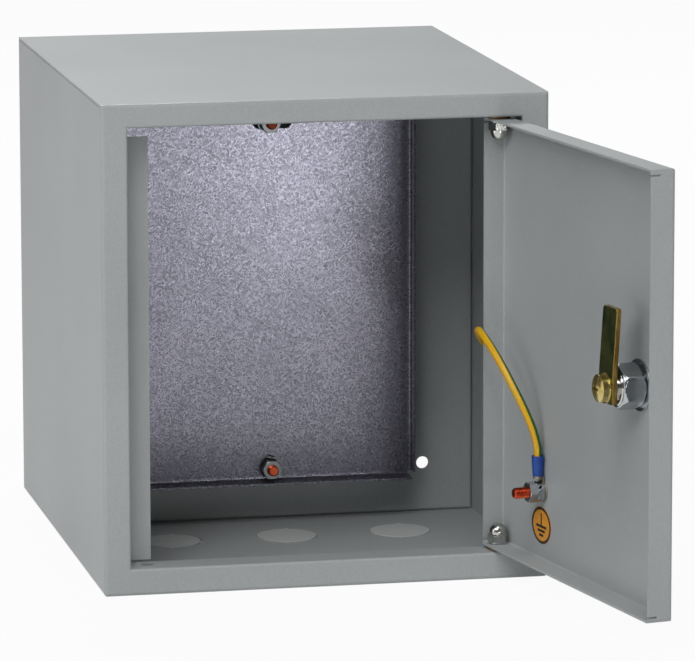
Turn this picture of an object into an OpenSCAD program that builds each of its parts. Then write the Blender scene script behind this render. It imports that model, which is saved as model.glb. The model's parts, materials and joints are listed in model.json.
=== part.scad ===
// Steel wall enclosure with a hinged door, a mounting plate, a cam lock and an earth lead.
// The box is laid out from its front bottom left corner: x to the right, y to the rear, z up.
// The finished part has its origin at the middle of the four wall fixings, on the rear face.

/* [Body] */
// Width of the box
body_w = 240; // [220:1:320]
// Height of the box
body_h = 262; // [240:1:360]
// Depth of the box
body_d = 285; // [260:1:360]
// Thickness of the body sheet
sheet = 1.2; // [1:0.1:1.5]
// Outer radius of the bends
bend_r = 2; // [1.8:0.1:3]
// Play between the box and a panel that slides into it
panel_play = 0.1; // [0.05:0.05:0.3]

/* [Front frame] */
// Width of the frame at the sides
frame_side = 14.4; // [12:0.2:18]
// Height of the frame below the doorway
frame_bottom = 14.4; // [12:0.2:20]
// Height of the frame above the doorway
frame_top = 12.6; // [12:0.2:20]
// Gap between the closed door's rims and the lip that the lock's cam catches
strike_clear = 0.4; // [0.2:0.1:3]
// Bend radius at the doorway's edge
edge_r = 1.5; // [1.3:0.1:2]
// Width of that lip
strike_w = 14.6; // [12:0.2:18]
// Gap between the lip's lower end and the return below it
strike_gap = 1.2; // [0.5:0.1:4]
// Gap between the lip's upper end and the return above it
strike_top_gap = 7; // [0.5:0.5:12]

/* [Top panel] */
// Width of the side walls' flanges under the top panel
top_flange = 8; // [6:0.5:12]
// Height of the seam below the top panel
seam_h = 0.35; // [0.2:0.05:0.6]
// Depth of the seam below the top panel
seam_d = 0.5; // [0.2:0.1:0.8]

/* [Back walls] */
// Distance from the front to the inner back wall
back_y = 174; // [150:1:200]
// Depth of the back walls' flanges
wall_flange = 12; // [8:0.5:16]
// Height of the cable slot below the rear panel
cable_slot = 20; // [12:1:30]
// Distance between the wall fixings, sideways
fixing_w = 180; // [150:1:190]
// Distance between the wall fixings, upwards
fixing_h = 204; // [180:1:210]
// Diameter of the wall fixing holes
fixing_d = 7; // [5:0.5:9]

/* [Knock-outs] */
// Number of knock-outs in the floor
knockouts = 3; // [1:1:3]
// Diameter of a knock-out
knockout_d = 33; // [20:0.5:40]
// Distance between two knock-outs
knockout_pitch = 64; // [56:1:70]
// Distance from the front to the knock-outs
knockout_y = 125; // [80:1:140]
// Sideways shift of the row of knock-outs from the middle
knockout_shift = 2.4; // [0:0.2:6]
// Width of the cut round a blank
knockout_cut = 0.3; // [0.2:0.05:0.6]
// Height by which the blanks stand out of the floor's underside
knockout_lift = 0.4; // [0.2:0.1:0.8]
// Width of a blank's bridge
bridge_w = 2.6; // [1.5:0.1:5]

/* [Mounting plate] */
// Width of the mounting plate
plate_w = 163; // [140:1:170]
// Height of the mounting plate
plate_h = 210; // [190:1:215]
// Thickness of the mounting plate
plate_t = 1.2; // [1:0.1:2]
// Height of the plate's lower edge above the box's underside
plate_z = 25; // [22:0.5:32]
// Depth of the rims above and below
plate_rim = 13.4; // [8:0.2:16]
// Depth of the rims at the sides
plate_side_rim = 8; // [5:0.5:10]
// Size of the notch in the plate's corners
plate_notch = 3; // [2.2:0.1:5]
// Length of the spacers behind the plate
spacer_h = 12.8; // [8:0.2:20]
// Diameter of the spacers
spacer_d = 12; // [11:0.5:16]
// Distance from the studs to the plate's lower and upper edges
stud_in = 7.7; // [7.7:0.1:10]
// Length of a plate stud
plate_stud_l = 25; // [22:0.5:32]
// Width of the slots that hang on the studs
hang_slot_w = 7.5; // [6.6:0.1:8]
// Length of the upper, level slot
hang_slot_l = 22; // [12:0.5:26]
// Sideways shift of the upper slot
hang_slot_shift = 2; // [0:0.5:4]
// Length of the lower, upright slot
drop_slot_l = 11; // [9:0.5:11]

/* [Door] */
// Gap between the door and the doorway's hinge side
hinge_gap = 3; // [2.8:0.1:4]
// Gap between the door and the doorway's other sides
door_gap = 1.6; // [1.4:0.1:2.5]
// Set-back of the door's outer face behind the frame
door_recess = 3.5; // [3:0.1:4]
// Depth of the door tray
door_depth = 13.8; // [13:0.1:16]
// Depth of the door's rim on the hinge side
hinge_rim = 12.9; // [11.5:0.1:12.9]
// Distance from the door's hinge side to the hinge axis
hinge_in = 7.2; // [7.1:0.1:7.6]
// Distance from the door's outer face to the hinge axis
hinge_back = 7.2; // [7.1:0.1:7.4]
// Angle by which the door stands open
door_angle = 101; // [60:1:102]
// Width of the relief slits in the door's corners
slit_w = 1; // [0.6:0.1:1.5]
// Length of the relief slits in the door's corners
slit_l = 5; // [3:0.5:8]

/* [Fasteners] */
// Diameter of the studs and the hinge bolts
m6_d = 6; // [5.5:0.1:6.2]
// Width across the flats of their nuts
nut_af = 10; // [9.5:0.1:10.2]
// Height of the plain nuts
nut_h = 5; // [4:0.1:6]
// Diameter of the washers
washer_d = 11; // [10.4:0.1:11.2]
// Thickness of the washers
washer_t = 1.2; // [0.8:0.1:1.6]
// Outer diameter of the spring washers
spring_d = 11; // [10:0.2:11.6]
// Thickness of the spring washers
spring_t = 1.6; // [1.2:0.1:2]
// Play between a stud and what is slipped over it
stud_play = 0.2; // [0.1:0.05:0.3]
// Play in the threads
thread_play = 0.05; // [0.02:0.01:0.1]

/* [Hinges] */
// Height of the hinge bolts' heads
bolt_head_h = 4; // [3:0.2:6]
// Outer diameter of the hinge bushes' sleeves
bush_d = 8; // [7.6:0.1:8.4]
// Diameter of the hinge bushes' collars
bush_collar_d = 11.6; // [10.5:0.1:12]
// Running play of the door on the bushes
bush_play = 0.06; // [0.02:0.01:0.1]
// Play between the parts that turn on each other at the hinge's ends
end_play = 0.1; // [0.05:0.05:0.3]
// Thickness of the hinge washers
hinge_washer_t = 1; // [0.8:0.1:1.6]
// Height of the cap nuts
cap_nut_h = 10; // [9:0.5:14]

/* [Lock] */
// Distance from the door's free side to the lock
lock_in = 37; // [35:0.5:44]
// Height of the lock above the box's underside
lock_z = 131.5; // [100:1:170]
// Diameter of the lock's front rim
rim_d = 24; // [22:0.5:28]
// Height of the lock's front rim
rim_h = 3; // [2:0.1:3.3]
// Diameter of the lock's barrel
barrel_d = 20; // [19:0.5:21]
// Width across the barrel's flats
barrel_flat = 18; // [17:0.1:18.4]
// Length of the barrel behind the door's outer face
barrel_l = 16; // [14:0.1:16.4]
// Diameter of the lock's plug
plug_d = 14; // [12:0.2:15]
// Running play of the plug in the barrel
plug_play = 0.05; // [0.02:0.01:0.1]
// Width across the flats of the lock nut
lock_nut_af = 24; // [23.5:0.5:27]
// Height of the lock nut
lock_nut_h = 9; // [4:0.5:10]
// Diameter of the lock washer
lock_washer_d = 27; // [25:0.5:30]
// Thickness of the lock washer
lock_washer_t = 1.2; // [0.8:0.1:1.6]
// Gap between the strike lip and the cam
cam_gap = 0.3; // [0.2:0.05:0.6]
// Thickness of the cam
cam_t = 2.8; // [2:0.1:3.5]
// Lean of the cam towards the strike lip, at its tip
cam_lean = 2.2; // [1.6:0.1:3]
// Width of the cam
cam_w = 16.4; // [14:0.2:20]
// Reach of the cam from the lock's axis
cam_reach = 41.5; // [36:0.5:45]
// Length of the cam beyond the lock's axis
cam_tail = 8; // [7.5:0.5:12]
// Corner radius of the cam
cam_corner = 2; // [1:0.5:4]
// Width of the square that drives the cam
square_af = 8; // [7:0.1:8.6]
// Diameter of the cam washer
cam_washer_d = 16; // [13:0.2:16]
// Diameter of the cam screw's head
screw_head_d = 14.4; // [11:0.2:15]
// Height of the cam screw's head
screw_head_h = 5.2; // [4:0.2:6]
// Diameter of the cam screw's thread
screw_d = 5; // [4:0.2:5.4]
// Length of the cam screw below its head
screw_l = 12; // [9:0.5:14]

/* [Earthing] */
// Distance from the door's hinge side to its earth stud
earth_in = 52.5; // [40:0.5:90]
// Height of the door's earth stud above the box's underside
earth_z = 54; // [40:0.2:80]
// Distance from the front to the side wall's earth stud
body_earth_y = 50; // [45:1:60]
// Height of the earth stud on the side wall above the box's underside
body_earth_z = 75; // [50:1:120]
// Tilt of the cable lug on the side wall
body_lug_tilt = 20; // [0:1:45]
// Length of the earth studs
earth_stud_l = 17.5; // [15:0.5:24]
// Height of the earth studs' collars
collar_h = 0.8; // [0.4:0.1:0.9]
// Diameter of the earth studs' collars
collar_d = 10; // [8:0.5:11]
// Diameter of a cable lug's ring
lug_d = 11; // [10.6:0.1:12]
// Thickness of a cable lug's ring
lug_t = 1; // [0.8:0.1:1.4]
// Outer diameter of a cable lug's crimped end
crimp_d = 4.9; // [4:0.1:5]
// Distance from a cable lug's hole to the end of its crimp
crimp_end = 16; // [13:0.5:18]
// Distance from a cable lug's hole to its sleeve
sleeve_from = 8.5; // [8:0.5:10]
// Distance from a cable lug's hole to the mouth of its sleeve
sleeve_to = 19.3; // [18.5:0.1:22]
// Outer diameter of a cable lug's sleeve
sleeve_d = 6.6; // [6:0.1:7.2]
// Wall thickness of a cable lug's sleeve
sleeve_wall = 0.7; // [0.5:0.05:0.75]
// Diameter of the earth lead
lead_d = 4.2; // [3.6:0.1:4.6]
// Diameter of the earth label
label_d = 20; // [15:0.5:22]
// Thickness of the earth label
label_t = 0.2; // [0.1:0.1:0.5]
// Distance from the door's hinge side to the earth label
label_in = 50.2; // [40:0.1:60]
// Height of the earth label above the box's underside
label_z = 35; // [30:0.2:40]

/* [Hidden] */
$fn = 64;

over = 1;                                   // how far a cut runs past a face
in_r = bend_r - sheet;                      // inner radius of the body's bends
way_x = [frame_side, body_w - frame_side];  // the doorway, sideways
way_z = [frame_bottom, body_h - frame_top]; // the doorway, upwards
way_mid = (way_z[0] + way_z[1]) / 2;
m6_r = m6_d / 2;
hole_r = m6_r + stud_play;

door_x = [way_x[0] + door_gap, way_x[1] - hinge_gap];
door_z = [way_z[0] + door_gap, way_z[1] - door_gap];
door_w = door_x[1] - door_x[0];
door_h = door_z[1] - door_z[0];
door_in = door_recess + sheet;              // the door's inner face
return_d = door_recess + door_depth + strike_clear; // depth of the doorway's returns
hinge = [door_x[1] - hinge_in, door_recess + hinge_back, 0];

plate_x = (body_w - plate_w) / 2;
plate_back = back_y - spacer_h;             // the mounting plate's rear face
plate_front = plate_back - plate_t;
stud_z = [plate_z + stud_in, plate_z + plate_h - stud_in];
stud_foot_d = 7.2;                          // weld collar at a plate stud's foot
stud_foot_h = 0.8;

lock_x = door_x[0] + lock_in;
cam_y = return_d + sheet + cam_gap;         // the side of the cam that faces the strike lip
earth_x = door_x[1] - earth_in;
wall_x = body_w - sheet;                    // inner face of the right side wall
stack = [collar_h, lug_t, washer_t, spring_t]; // an earth stud's layers below its nut
function level(n) = n == 0 ? 0 : stack[n - 1] + level(n - 1);
sleeve_gap = 0.1;                           // between a lug's sleeve and the sheet under it
crimp_up = sleeve_d / 2 + sleeve_gap;       // from the stud's seat to the crimp's axis
crimp_rise = crimp_up - level(1);           // from the lug's underside to the crimp's axis

// A point given on the closed door, turned with the door to where it stands open
function on_door(p) = let (v = p - hinge, c = cos(door_angle), s = sin(door_angle))
    hinge + [v[0] * c - v[1] * s, v[0] * s + v[1] * c, v[2]];
// A point along a cable lug, on the door and on the side wall
function door_lug_point(d) = on_door([earth_x, door_in + crimp_up, earth_z + d]);
function wall_lug_point(d) = [wall_x - crimp_up, body_earth_y - d * sin(body_lug_tilt),
    body_earth_z + d * cos(body_lug_tilt)];

// The earth lead's way from the door's lug over the hinge side to the side wall's lug
lead_route = concat(
    [door_lug_point(crimp_end), door_lug_point(sleeve_to)],
    [[226.4, -33, 78.3], [224.4, -31.8, 86.7], [221.5, -29.7, 94.7], [218.4, -26.7, 102.2],
     [215.3, -22.7, 109.4], [212.5, -17.9, 116.1], [209.9, -12.1, 122.2], [207.6, -5.5, 127.4],
     [205.7, 2, 131.5], [205, 10.5, 133.3], [206.2, 18.9, 131.5], [209.1, 26, 127.3],
     [213.3, 31.7, 122.2], [218.7, 35.8, 116.7], [225.2, 38.2, 111.4], [231.2, 39.8, 105.4],
     [234.7, 41.7, 98.2]],
    [wall_lug_point(sleeve_to), wall_lug_point(crimp_end)]);

// Moves the box from its own corner to the middle of the wall fixings
module place() {
    translate([-body_w / 2, -body_d, -body_h / 2]) children();
}

// Turns the closed door to where it stands open
module on_open_door() {
    place() translate(hinge) rotate([0, 0, door_angle]) translate(-hinge) children();
}

// Lays an outline drawn in z and y along the x axis
module along_x(len) {
    translate([len, 0, 0]) rotate([0, -90, 0]) linear_extrude(len) children();
}

// Lays an outline drawn in x and z along the y axis
module along_y(len) {
    translate([0, len, 0]) rotate([90, 0, 0]) linear_extrude(len) children();
}

// Stands a piece drawn up the z axis on a face that looks to the rear, y up to depth
module facing_rear(x, y, z) {
    translate([x, y, z]) rotate([-90, 0, 0]) children();
}

// Stands a piece drawn up the z axis on a face that looks to the front
module facing_front(x, y, z) {
    translate([x, y, z]) rotate([90, 0, 0]) children();
}

// Rectangle with the two corners at y = 0 rounded
module soft_front(w, d, r) {
    translate([r, r]) circle(r);
    translate([w - r, r]) circle(r);
    translate([r, 0]) square([w - 2 * r, d]);
    translate([0, r]) square([w, d - r]);
}

// Rectangle with four rounded corners
module soft_rect(w, h, r) {
    for (x = [r, w - r], y = [r, h - r]) translate([x, y]) circle(r);
    translate([r, 0]) square([w - 2 * r, h]);
    translate([0, r]) square([w, h - 2 * r]);
}

// Slot outline along x, centred
module slot(len, w) {
    for (side = [-1, 1]) translate([side * (len - w) / 2, 0]) circle(w / 2);
    square([len - w, w], center = true);
}

// Block with its edges rounded towards the front, where sheet metal is bent backwards
module bent_block(w, h, d, r) {
    intersection() {
        linear_extrude(h) soft_front(w, d, r);
        along_x(w) soft_front(h, d, r);
        along_y(d) soft_rect(w, h, r);
    }
}

// Shallow tray of sheet t, its rims bent backwards
module tray(w, h, d, r, t) {
    difference() {
        bent_block(w, h, d, r);
        translate([t, t, t]) bent_block(w - 2 * t, h - 2 * t, d, r - t);
    }
}

// The four wall fixing holes, cut along y
module fixing_holes() {
    for (x = [-1, 1] * fixing_w / 2, z = [-1, 1] * fixing_h / 2)
        facing_rear(body_w / 2 + x, -over, body_h / 2 + z)
            cylinder(h = body_d + 2 * over, d = fixing_d);
}

// The solid that the front frame is cut from: rounded at the front and along the floor
module frame_block() {
    intersection() {
        linear_extrude(body_h) soft_front(body_w, body_d, bend_r);
        along_x(body_w) soft_front(body_h, body_d, bend_r);
        along_y(body_d) soft_front(body_w, body_h, bend_r);
    }
}

// Four bars round the doorway, with its front edge rounded
module frame_bars() {
    translate([-edge_r, 0, 0])
        linear_extrude(body_h) soft_front(frame_side + edge_r, return_d, edge_r);
    translate([way_x[1], 0, 0])
        linear_extrude(body_h) soft_front(frame_side + edge_r, return_d, edge_r);
    translate([0, 0, -edge_r])
        along_x(body_w) soft_front(frame_bottom + edge_r, return_d, edge_r);
    translate([0, 0, way_z[1]])
        along_x(body_w) soft_front(frame_top + edge_r, return_d, edge_r);
}

module front_frame() {
    way_w = way_x[1] - way_x[0] + 2 * sheet;
    way_h = way_z[1] - way_z[0] + 2 * sheet;
    color("lightgray") place() difference() {
        union() {
            difference() {
                intersection() {
                    frame_block();
                    frame_bars();
                }
                difference() {
                    union() {
                        translate([sheet, sheet, sheet])
                            bent_block(body_w - 2 * sheet, body_h - 2 * sheet, return_d, in_r);
                        translate([-over, bend_r, -over])
                            cube([body_w + 2 * over, return_d, body_h + 2 * over]);
                    }
                    translate([way_x[0] - sheet, 0, way_z[0] - sheet])
                        cube([way_w, return_d + over, way_h]);
                }
            }
            translate([way_x[0] - sheet, return_d, way_z[0] + strike_gap])
                cube([strike_w, sheet, way_z[1] - way_z[0] - strike_gap - strike_top_gap]);
        }
        for (x = [hinge[0], body_w - hinge[0]], z = way_z)
            translate([x, hinge[1], z - sheet - over])
                cylinder(h = 2 * (sheet + over), r = hole_r);
    }
}

module body_wrap() {
    wrap_d = body_d - bend_r;
    color("lightgray") place() difference() {
        translate([0, bend_r, 0]) union() {
            along_y(wrap_d) difference() {
                soft_front(body_w, body_h - sheet, bend_r);
                translate([sheet, sheet]) soft_front(body_w - 2 * sheet, body_h, in_r);
            }
            for (x = [sheet, wall_x - top_flange])
                translate([x, 0, body_h - 2 * sheet])
                    cube([top_flange, wrap_d - wall_flange - over, sheet]);
        }
        for (n = [0:knockouts - 1])
            translate([knockout_x(n), knockout_y, -over])
                cylinder(h = sheet + 2 * over, d = knockout_d + 2 * knockout_cut);
        for (x = [-over, body_w - seam_d])
            translate([x, 0, body_h - sheet - seam_h])
                cube([seam_d + over, body_d + over, seam_h + over]);
    }
}

function knockout_x(n) = body_w / 2 + (n - (knockouts - 1) / 2) * knockout_pitch + knockout_shift;

// A blank in its hole, held by two bridges that lie on the floor
module knockout_blank(d) {
    translate([0, 0, knockout_lift]) cylinder(h = sheet, d = d);
    for (turn = [80, 260]) rotate([0, 0, turn]) translate([d / 2 - over, -bridge_w / 2, sheet])
        cube([over + 2, bridge_w, knockout_lift]);
}

module knockout_blanks() {
    loose = 1.4;    // the left blank has been struck once and shows a wider gap
    color("silver") place() for (n = [0:knockouts - 1])
        translate([knockout_x(n), knockout_y, 0])
            if (n == 0 && knockouts > 1) translate([-0.5, -0.5, 0]) knockout_blank(knockout_d - loose);
            else knockout_blank(knockout_d);
}

module top_panel() {
    color("lightgray") place() translate([0, bend_r, body_h - sheet])
        cube([body_w, body_d - bend_r, sheet]);
}

module back_wall() {
    x = sheet + panel_play;
    color("gainsboro") place() difference() {
        translate([x, back_y, x])
            tray(body_w - 2 * x, body_h - 2 * sheet - x - panel_play, wall_flange, bend_r, sheet);
        fixing_holes();
    }
}

module rear_panel() {
    x = sheet + panel_play;
    color("lightgray") place() difference() {
        translate([x, body_d, cable_slot]) mirror([0, 1, 0])
            tray(body_w - 2 * x, body_h - sheet - cable_slot, wall_flange, bend_r, sheet);
        fixing_holes();
    }
}

module mounting_plate() {
    cut = plate_rim - plate_side_rim;
    color("slategray") place() difference() {
        translate([plate_x, plate_back, plate_z]) mirror([0, 1, 0])
            tray(plate_w, plate_h, plate_rim, bend_r, plate_t);
        for (x = [-over, plate_w - bend_r])
            translate([plate_x + x, plate_back - plate_rim - over, plate_z - over])
                cube([bend_r + over, cut + over, plate_h + 2 * over]);
        for (x = [-over, plate_w - plate_notch], z = [-over, plate_h - plate_notch])
            translate([plate_x + x, plate_back - plate_rim - over, plate_z + z])
                cube([plate_notch + over, plate_rim + 2 * over, plate_notch + over]);
        translate([body_w / 2, plate_front - over, stud_z[0] + (drop_slot_l - hang_slot_w) / 2])
            along_y(plate_t + 2 * over) rotate(90) slot(drop_slot_l, hang_slot_w);
        translate([body_w / 2 + hang_slot_shift, plate_front - over, stud_z[1]])
            along_y(plate_t + 2 * over) slot(hang_slot_l, hang_slot_w);
    }
}

// Threaded stud with a chamfered tip, its foot at z = 0
module stud(len) {
    tip = 0.8;
    rotate_extrude() polygon([[0, 0], [m6_r, 0], [m6_r, len - tip], [m6_r - tip, len], [0, len]]);
}

module washer(d, t, bore_r) {
    difference() {
        cylinder(h = t, d = d);
        translate([0, 0, -over]) cylinder(h = t + 2 * over, r = bore_r);
    }
}

// Washer that is slit at one side
module spring_washer() {
    slit = 1.2;
    difference() {
        washer(spring_d, spring_t, hole_r);
        rotate([25, 0, 40]) translate([0, -slit / 2, -spring_d])
            cube([spring_d, slit, 2 * spring_d]);
    }
}

// Hexagon with chamfered corners
module hexagon(af, h) {
    corner = af / 2 / cos(30);
    drop = (corner - af / 2) / 2;
    intersection() {
        cylinder(h = h, r = corner, $fn = 6);
        rotate_extrude() polygon([[0, 0], [af / 2, 0], [corner, drop], [corner, h - drop],
            [af / 2, h], [0, h]]);
    }
}

module nut(af, h, bore_r) {
    difference() {
        hexagon(af, h);
        translate([0, 0, -over]) cylinder(h = h + 2 * over, r = bore_r);
    }
}

// Puts its children on each of the two plate studs, at a distance in front of the inner back wall
module at_plate_studs(front) {
    for (z = stud_z) facing_front(body_w / 2, back_y - front, z) children();
}

module plate_studs() {
    color("peru") place() at_plate_studs(0) union() {
        stud(plate_stud_l);
        cylinder(h = stud_foot_h, d = stud_foot_d);
    }
}

module plate_spacers() {
    color("silver") place() at_plate_studs(0) washer(spacer_d, spacer_h, stud_foot_d / 2 + stud_play);
}

module plate_washers() {
    color("silver") place() at_plate_studs(spacer_h + plate_t) washer(washer_d, washer_t, hole_r);
}

module plate_spring_washers() {
    color("silver") place() at_plate_studs(spacer_h + plate_t + washer_t) spring_washer();
}

module plate_nuts() {
    color("silver") place() at_plate_studs(spacer_h + plate_t + washer_t + spring_t)
        nut(nut_af, nut_h, m6_r + thread_play);
}

// Cable lug lying on z = 0 with its crimp towards y
module cable_lug() {
    neck = crimp_d;
    difference() {
        union() {
            cylinder(h = lug_t, d = lug_d);
            translate([-neck / 2, 0, 0]) cube([neck, sleeve_from, lug_t]);
            translate([0, sleeve_from - 1.5, crimp_rise]) rotate([-90, 0, 0])
                cylinder(h = crimp_end - sleeve_from + 1.5, d = crimp_d);
        }
        translate([0, 0, -over]) cylinder(h = lug_t + 2 * over, r = hole_r);
    }
}

// Insulating sleeve round a cable lug's crimp
module lug_sleeve() {
    translate([0, sleeve_from, crimp_rise]) rotate([-90, 0, 0])
        washer(sleeve_d, sleeve_to - sleeve_from, sleeve_d / 2 - sleeve_wall);
}

module earth_stud() {
    stud(earth_stud_l);
    cylinder(h = collar_h, d = collar_d);
}

// Puts its children on the side wall's earth stud, y along the lug, at a height above the wall
module at_wall_earth(n) {
    place() translate([wall_x - level(n), body_earth_y, body_earth_z])
        rotate([body_lug_tilt, 0, 0]) rotate([0, -90, 0]) rotate(-90) children();
}

// Puts its children on the door's earth stud, y upwards, at a height above the door
module at_door_earth(n) {
    on_open_door() translate([earth_x, door_in + level(n), earth_z])
        rotate([90, 0, 180]) children();
}

module body_earth_stud() {
    color("peru") at_wall_earth(0) earth_stud();
}

module body_earth_washer() {
    color("silver") at_wall_earth(2) washer(washer_d, washer_t, hole_r);
}

module body_earth_lug() {
    color("silver") at_wall_earth(1) cable_lug();
}

module body_lug_sleeve() {
    color("royalblue") at_wall_earth(1) lug_sleeve();
}

module body_earth_spring_washer() {
    color("silver") at_wall_earth(3) spring_washer();
}

module body_earth_nut() {
    color("silver") at_wall_earth(4) nut(nut_af, nut_h, m6_r + thread_play);
}

module door_earth_stud() {
    color("peru") at_door_earth(0) earth_stud();
}

module door_earth_washer() {
    color("silver") at_door_earth(2) washer(washer_d, washer_t, hole_r);
}

module door_earth_lug() {
    color("silver") at_door_earth(1) cable_lug();
}

module door_lug_sleeve() {
    color("royalblue") at_door_earth(1) lug_sleeve();
}

module door_earth_spring_washer() {
    color("silver") at_door_earth(3) spring_washer();
}

module door_earth_nut() {
    color("silver") at_door_earth(4) nut(nut_af, nut_h, m6_r + thread_play);
}

// Puts its children on both hinges, z pointing into the door and 0 at the frame's return
module at_hinges() {
    for (top = [0, 1])
        translate([0, 0, way_mid]) mirror([0, 0, top]) translate([0, 0, way_z[0] - way_mid])
            translate(hinge) children();
}

bush_h = door_gap + sheet + end_play;       // from the return to just past the door's rim
bush_top = bush_h + end_play;

module hinge_bolts() {
    reach = bush_top + hinge_washer_t + cap_nut_h / 2;
    color("silver") place() at_hinges() {
        translate([0, 0, -sheet - bolt_head_h]) hexagon(nut_af, bolt_head_h);
        translate([0, 0, -sheet]) stud(sheet + reach);
    }
}

module hinge_bushes() {
    color("goldenrod") place() at_hinges() difference() {
        union() {
            cylinder(h = door_gap - end_play, d = bush_collar_d);
            cylinder(h = bush_top, d = bush_d);
        }
        translate([0, 0, -over]) cylinder(h = bush_top + 2 * over, r = m6_r + thread_play);
    }
}

module hinge_washers() {
    color("silver") place() at_hinges() translate([0, 0, bush_top])
        washer(washer_d - 1, hinge_washer_t, hole_r);
}

// Hexagon with a dome and a blind thread
module cap_nut() {
    dome_r = nut_af / 2 - 0.3;
    hex_h = cap_nut_h - dome_r - 1;
    difference() {
        union() {
            hexagon(nut_af, hex_h);
            cylinder(h = cap_nut_h - dome_r, r = dome_r);
            translate([0, 0, cap_nut_h - dome_r]) sphere(dome_r);
        }
        translate([0, 0, -over]) cylinder(h = over + cap_nut_h / 2 + 1, r = m6_r + thread_play);
    }
}

module hinge_cap_nuts() {
    color("gainsboro") place() at_hinges() translate([0, 0, bush_top + hinge_washer_t])
        cap_nut();
}

// Outline of the lock's barrel: round with two flats
module barrel_outline(play) {
    intersection() {
        circle(d = barrel_d + 2 * play);
        square([barrel_d + 2 * over, barrel_flat + 2 * play], center = true);
    }
}

// Puts its children on the lock's axis, z to the rear, measured from the door's outer face
module at_lock(y) {
    on_open_door() facing_rear(lock_x, door_recess + y, lock_z) children();
}

module door_panel() {
    reach = slit_l + over;
    cut = door_depth - hinge_rim;
    color("lightgray") on_open_door() difference() {
        translate([door_x[0], door_recess, door_z[0]])
            tray(door_w, door_h, door_depth, bend_r, sheet);
        translate([door_x[1] - bend_r, door_recess + hinge_rim, door_z[0] - over])
            cube([bend_r + over, cut + over, door_h + 2 * over]);
        for (z = [door_z[0] + bend_r + slit_w, door_z[1] - bend_r - slit_w],
             x = [door_x[0] - over, door_x[1] - sheet - 0.4])
            translate([x, door_recess + door_depth - slit_l, z - slit_w / 2])
                cube([sheet + 0.4 + over, reach, slit_w]);
        for (z = [door_z[0], door_z[1] - sheet])
            translate([hinge[0], hinge[1], z - over])
                cylinder(h = sheet + 2 * over, d = bush_d + 2 * bush_play);
        facing_rear(lock_x, door_recess - over, lock_z)
            linear_extrude(sheet + 2 * over) barrel_outline(thread_play);
    }
}

module lock_body() {
    lip = 0.8;
    color("silver") at_lock(0) difference() {
        union() {
            linear_extrude(barrel_l) barrel_outline(0);
            translate([0, 0, -rim_h]) rotate_extrude() polygon([[0, 0], [rim_d / 2 - lip, 0],
                [rim_d / 2, lip], [rim_d / 2, rim_h], [0, rim_h]]);
        }
        translate([0, 0, -rim_h - over])
            cylinder(h = rim_h + barrel_l + 2 * over, r = plug_d / 2 + plug_play);
    }
}

module lock_washer() {
    color("silver") at_lock(sheet) washer(lock_washer_d, lock_washer_t, barrel_d / 2 + 0.1);
}

module lock_nut() {
    color("silver") at_lock(sheet + lock_washer_t) rotate(30)
        nut(lock_nut_af, lock_nut_h, barrel_d / 2 + thread_play);
}

cam_up = cam_y - door_recess + cam_lean;    // from the door's outer face to the cam's hub

module lock_plug() {
    key = [1.8, 8.4, 8];
    color("silver") at_lock(0) difference() {
        union() {
            translate([0, 0, 0.4 - rim_h]) cylinder(h = cam_up - 0.4 + rim_h, d = plug_d);
            translate([-square_af / 2, -square_af / 2, 0])
                cube([square_af, square_af, cam_up + cam_t - 0.1]);
        }
        translate([-key[0] / 2, -key[1] / 2, -rim_h - over]) cube([key[0], key[1], key[2] + over]);
        translate([0, 0, cam_up + cam_t - screw_l - over])
            cylinder(h = screw_l + 2 * over, r = screw_d / 2 + thread_play);
    }
}

// Flat hub with an arm that leans towards the strike lip
module cam() {
    play = 0.1;
    hole = square_af + 2 * play;
    hub = cam_w / 2;
    side = [[cam_tail + over, 0], [-hub, 0], [-cam_reach, -cam_lean], [-cam_reach - over, -cam_lean],
        [-cam_reach - over, cam_t - cam_lean], [-cam_reach, cam_t - cam_lean], [-hub, cam_t],
        [cam_tail + over, cam_t]];
    color("darkgoldenrod") at_lock(cam_up) difference() {
        intersection() {
            translate([0, 0, -cam_lean - over]) linear_extrude(cam_t + cam_lean + 2 * over) union() {
                translate([-cam_w / 2, -cam_reach])
                    soft_rect(cam_w, cam_reach + cam_tail / 2, cam_corner);
                circle(d = cam_w);
                translate([-cam_w / 2, 0]) soft_rect(cam_w, cam_tail, cam_corner);
            }
            translate([-hub - over, 0, 0]) rotate([90, 0, 90]) linear_extrude(cam_w + 2 * over)
                polygon(side);
        }
        translate([-hole / 2, -hole / 2, -over]) cube([hole, hole, cam_t + 2 * over]);
    }
}

module cam_washer() {
    color("goldenrod") at_lock(cam_up + cam_t) washer(cam_washer_d, washer_t, screw_d / 2 + 0.2);
}

// Large screw with a flat dome and a cross recess
module cam_screw() {
    side = 0.62 * screw_head_h;
    cross = [1.5, 6.4, 2.4];
    dome_r = ((screw_head_d / 2) ^ 2 + (screw_head_h - side) ^ 2) / 2 / (screw_head_h - side);
    color("goldenrod") at_lock(cam_up + cam_t + washer_t) difference() {
        union() {
            cylinder(h = side, d = screw_head_d);
            intersection() {
                translate([0, 0, screw_head_h - dome_r]) sphere(dome_r);
                cylinder(h = screw_head_h, d = screw_head_d);
            }
            translate([0, 0, washer_t - screw_l]) cylinder(h = screw_l, d = screw_d);
        }
        for (turn = [0, 90]) rotate(turn)
            translate([-cross[0] / 2, -cross[1] / 2, screw_head_h - cross[2]])
                cube([cross[0], cross[1], cross[2] + over]);
    }
}

module earth_label() {
    color("gold") on_open_door() facing_rear(door_x[1] - label_in, door_in, label_z)
        cylinder(h = label_t, d = label_d);
}

function unit(v) = v / norm(v);

// Ring of points round a route's point n, square to its run
function ring(route, n, r, sides) = let (
    last = len(route) - 1,
    run = unit(route[min(n + 1, last)] - route[max(n - 1, 0)]),
    side = unit(cross(run, [1, 0, 0])),
    up = cross(side, run))
    [for (i = [0:sides - 1]) route[n] + r * (cos(360 * i / sides) * side + sin(360 * i / sides) * up)];

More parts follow.
